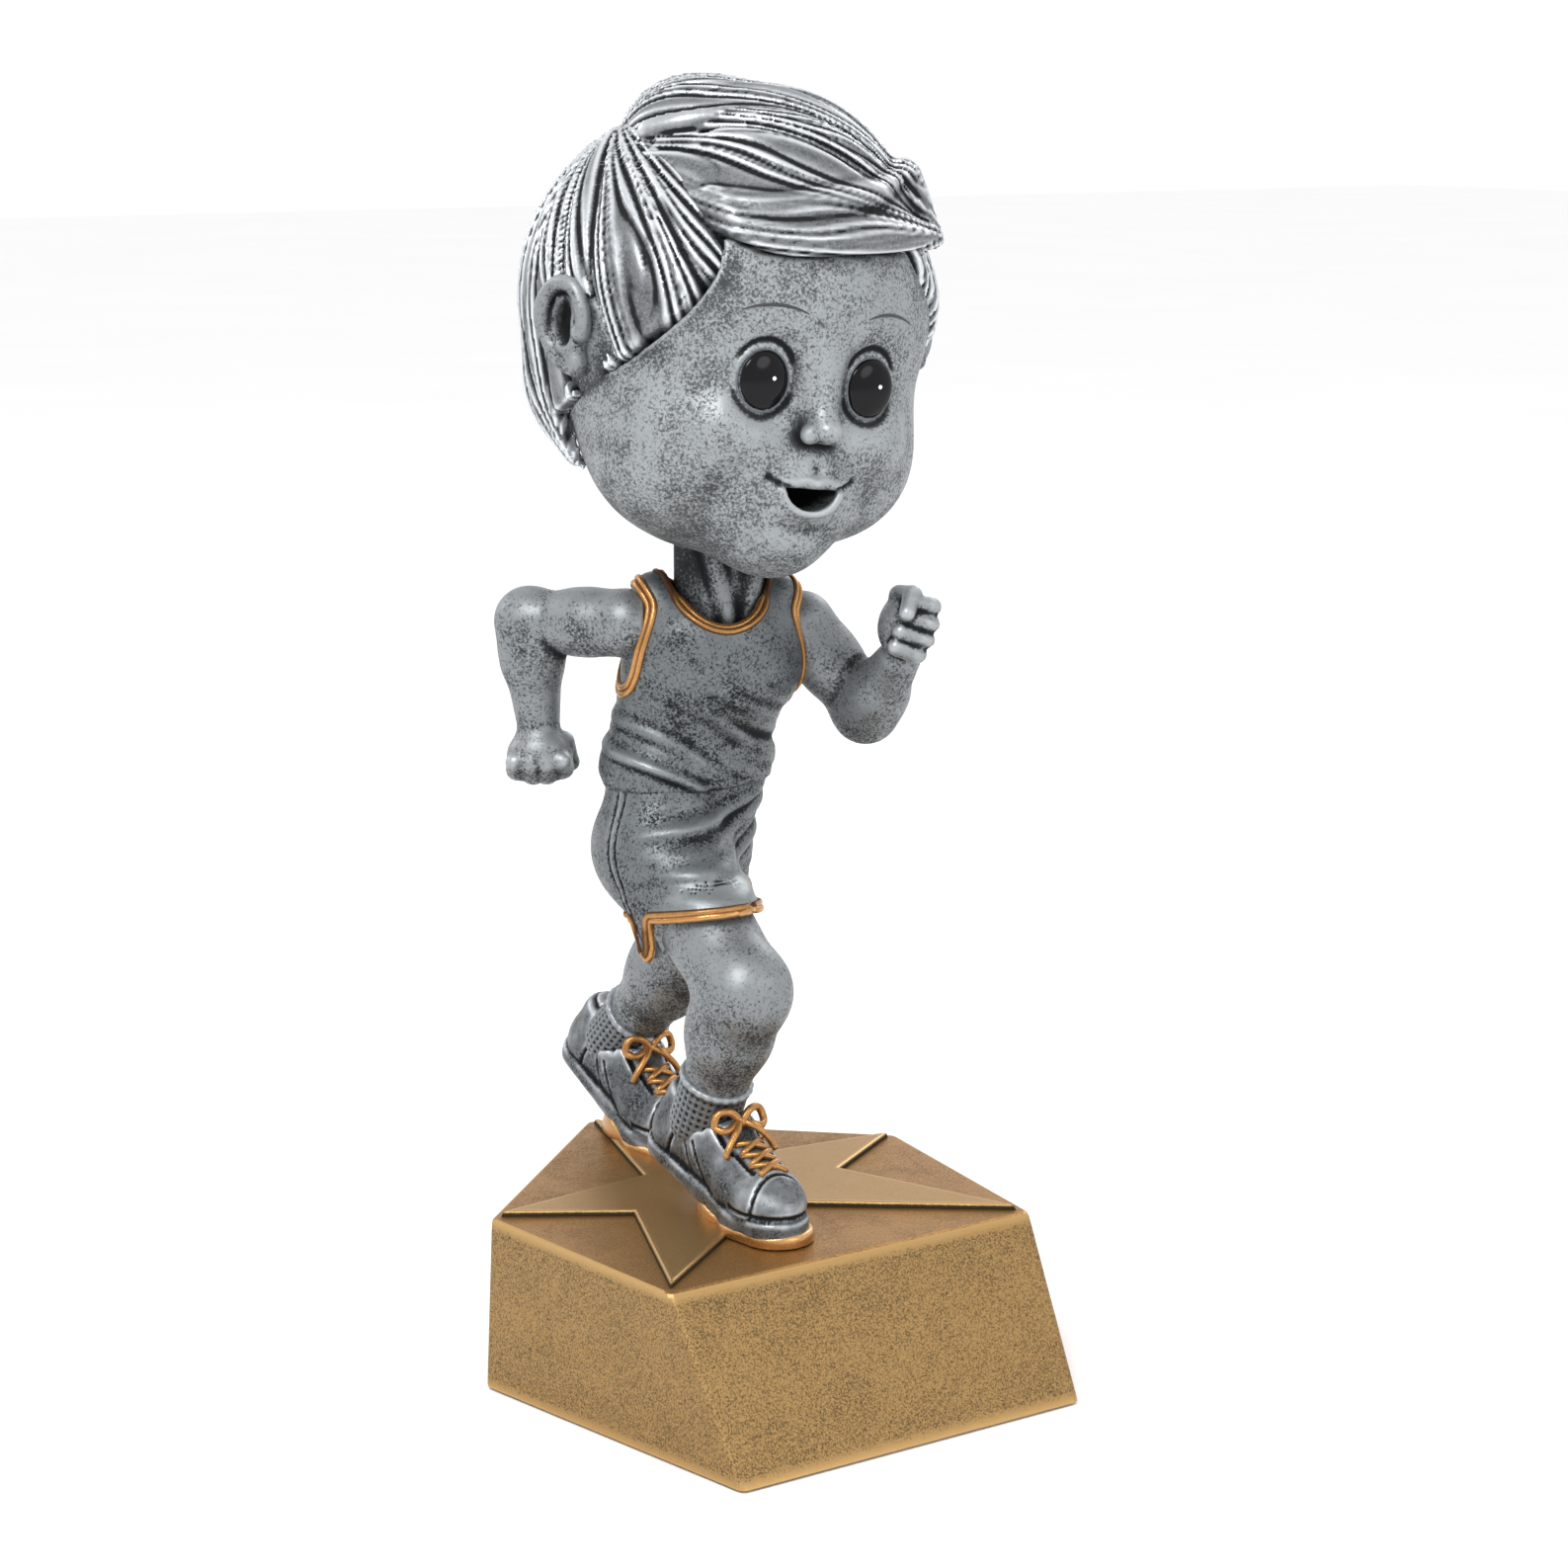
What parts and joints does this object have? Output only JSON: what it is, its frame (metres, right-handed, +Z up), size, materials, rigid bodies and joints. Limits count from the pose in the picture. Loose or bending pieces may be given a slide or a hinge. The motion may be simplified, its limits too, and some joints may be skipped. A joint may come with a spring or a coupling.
{
  "type": "figure trophy",
  "caption": "Cast running figure on a five-cornered star base, with its hollow head on a coil spring so that it nods, tilts, turns and bobs.",
  "frame": {"origin": "centre of the felt's underside, midway between the side corners", "axes": "+Z up, the figure runs towards -Y, and its right side is -X"},
  "size_m": [0.0586, 0.0717, 0.1399],
  "materials": {
    "silver_resin": "satin",
    "gold_resin": "satin",
    "gold_trim": "satin",
    "eye_gloss": "gloss",
    "rod_steel": "satin",
    "spring_steel": "polished",
    "plug_plastic": "matte",
    "felt": "matte"
  },
  "bodies": {
    "stand": {"base_block": "gold_resin", "felt_pad": "felt", "right_footing": "gold_resin", "left_footing": "gold_resin", "right_shoe": "silver_resin", "left_shoe": "silver_resin", "right_leg": "silver_resin", "left_leg": "silver_resin", "right_leg_rod": "rod_steel", "left_leg_rod": "rod_steel", "right_hip_dowel": "rod_steel", "left_hip_dowel": "rod_steel", "shorts": "silver_resin", "waist_dowel": "rod_steel", "torso": "silver_resin", "right_arm": "silver_resin", "left_arm": "silver_resin", "right_arm_dowel": "rod_steel", "left_arm_dowel": "rod_steel", "neck": "silver_resin", "neck_plug": "plug_plastic", "spring_seat_coil": "spring_steel"},
    "spring_nod": {"spring_lower_coils": "spring_steel"},
    "spring_tilt": {"spring_middle_coils": "spring_steel"},
    "spring_twist": {"spring_upper_coils": "spring_steel"},
    "head": {"spring_top_coils": "spring_steel", "head_post": "plug_plastic", "head_shell": "silver_resin"}
  },
  "joints": [
    {"name": "head_nod", "type": "hinge", "parent": "stand", "child": "spring_nod", "pos_m": [0.0003, -0.001, 0.0974], "axis": [1, 0, 0], "range_deg": [-8, 8], "stiffness_Nm_per_rad": 0.045, "deforming": ["spring_lower_coils"]},
    {"name": "head_tilt", "type": "hinge", "parent": "spring_nod", "child": "spring_tilt", "pos_m": [0.0003, -0.001, 0.10089], "axis": [0, 1, 0], "range_deg": [-7, 7], "stiffness_Nm_per_rad": 0.045, "deforming": ["spring_middle_coils"]},
    {"name": "head_turn", "type": "hinge", "parent": "spring_tilt", "child": "spring_twist", "pos_m": [0.0003, -0.001, 0.10437], "axis": [0, 0, 1], "range_deg": [-15, 15], "stiffness_Nm_per_rad": 0.045, "deforming": ["spring_upper_coils"]},
    {"name": "head_bob", "type": "slide", "parent": "spring_twist", "child": "head", "axis": [0, 0, 1], "range_m": [-0.0012, 0.0012], "stiffness_N_per_m": 700, "deforming": ["spring_top_coils"]}
  ]
}
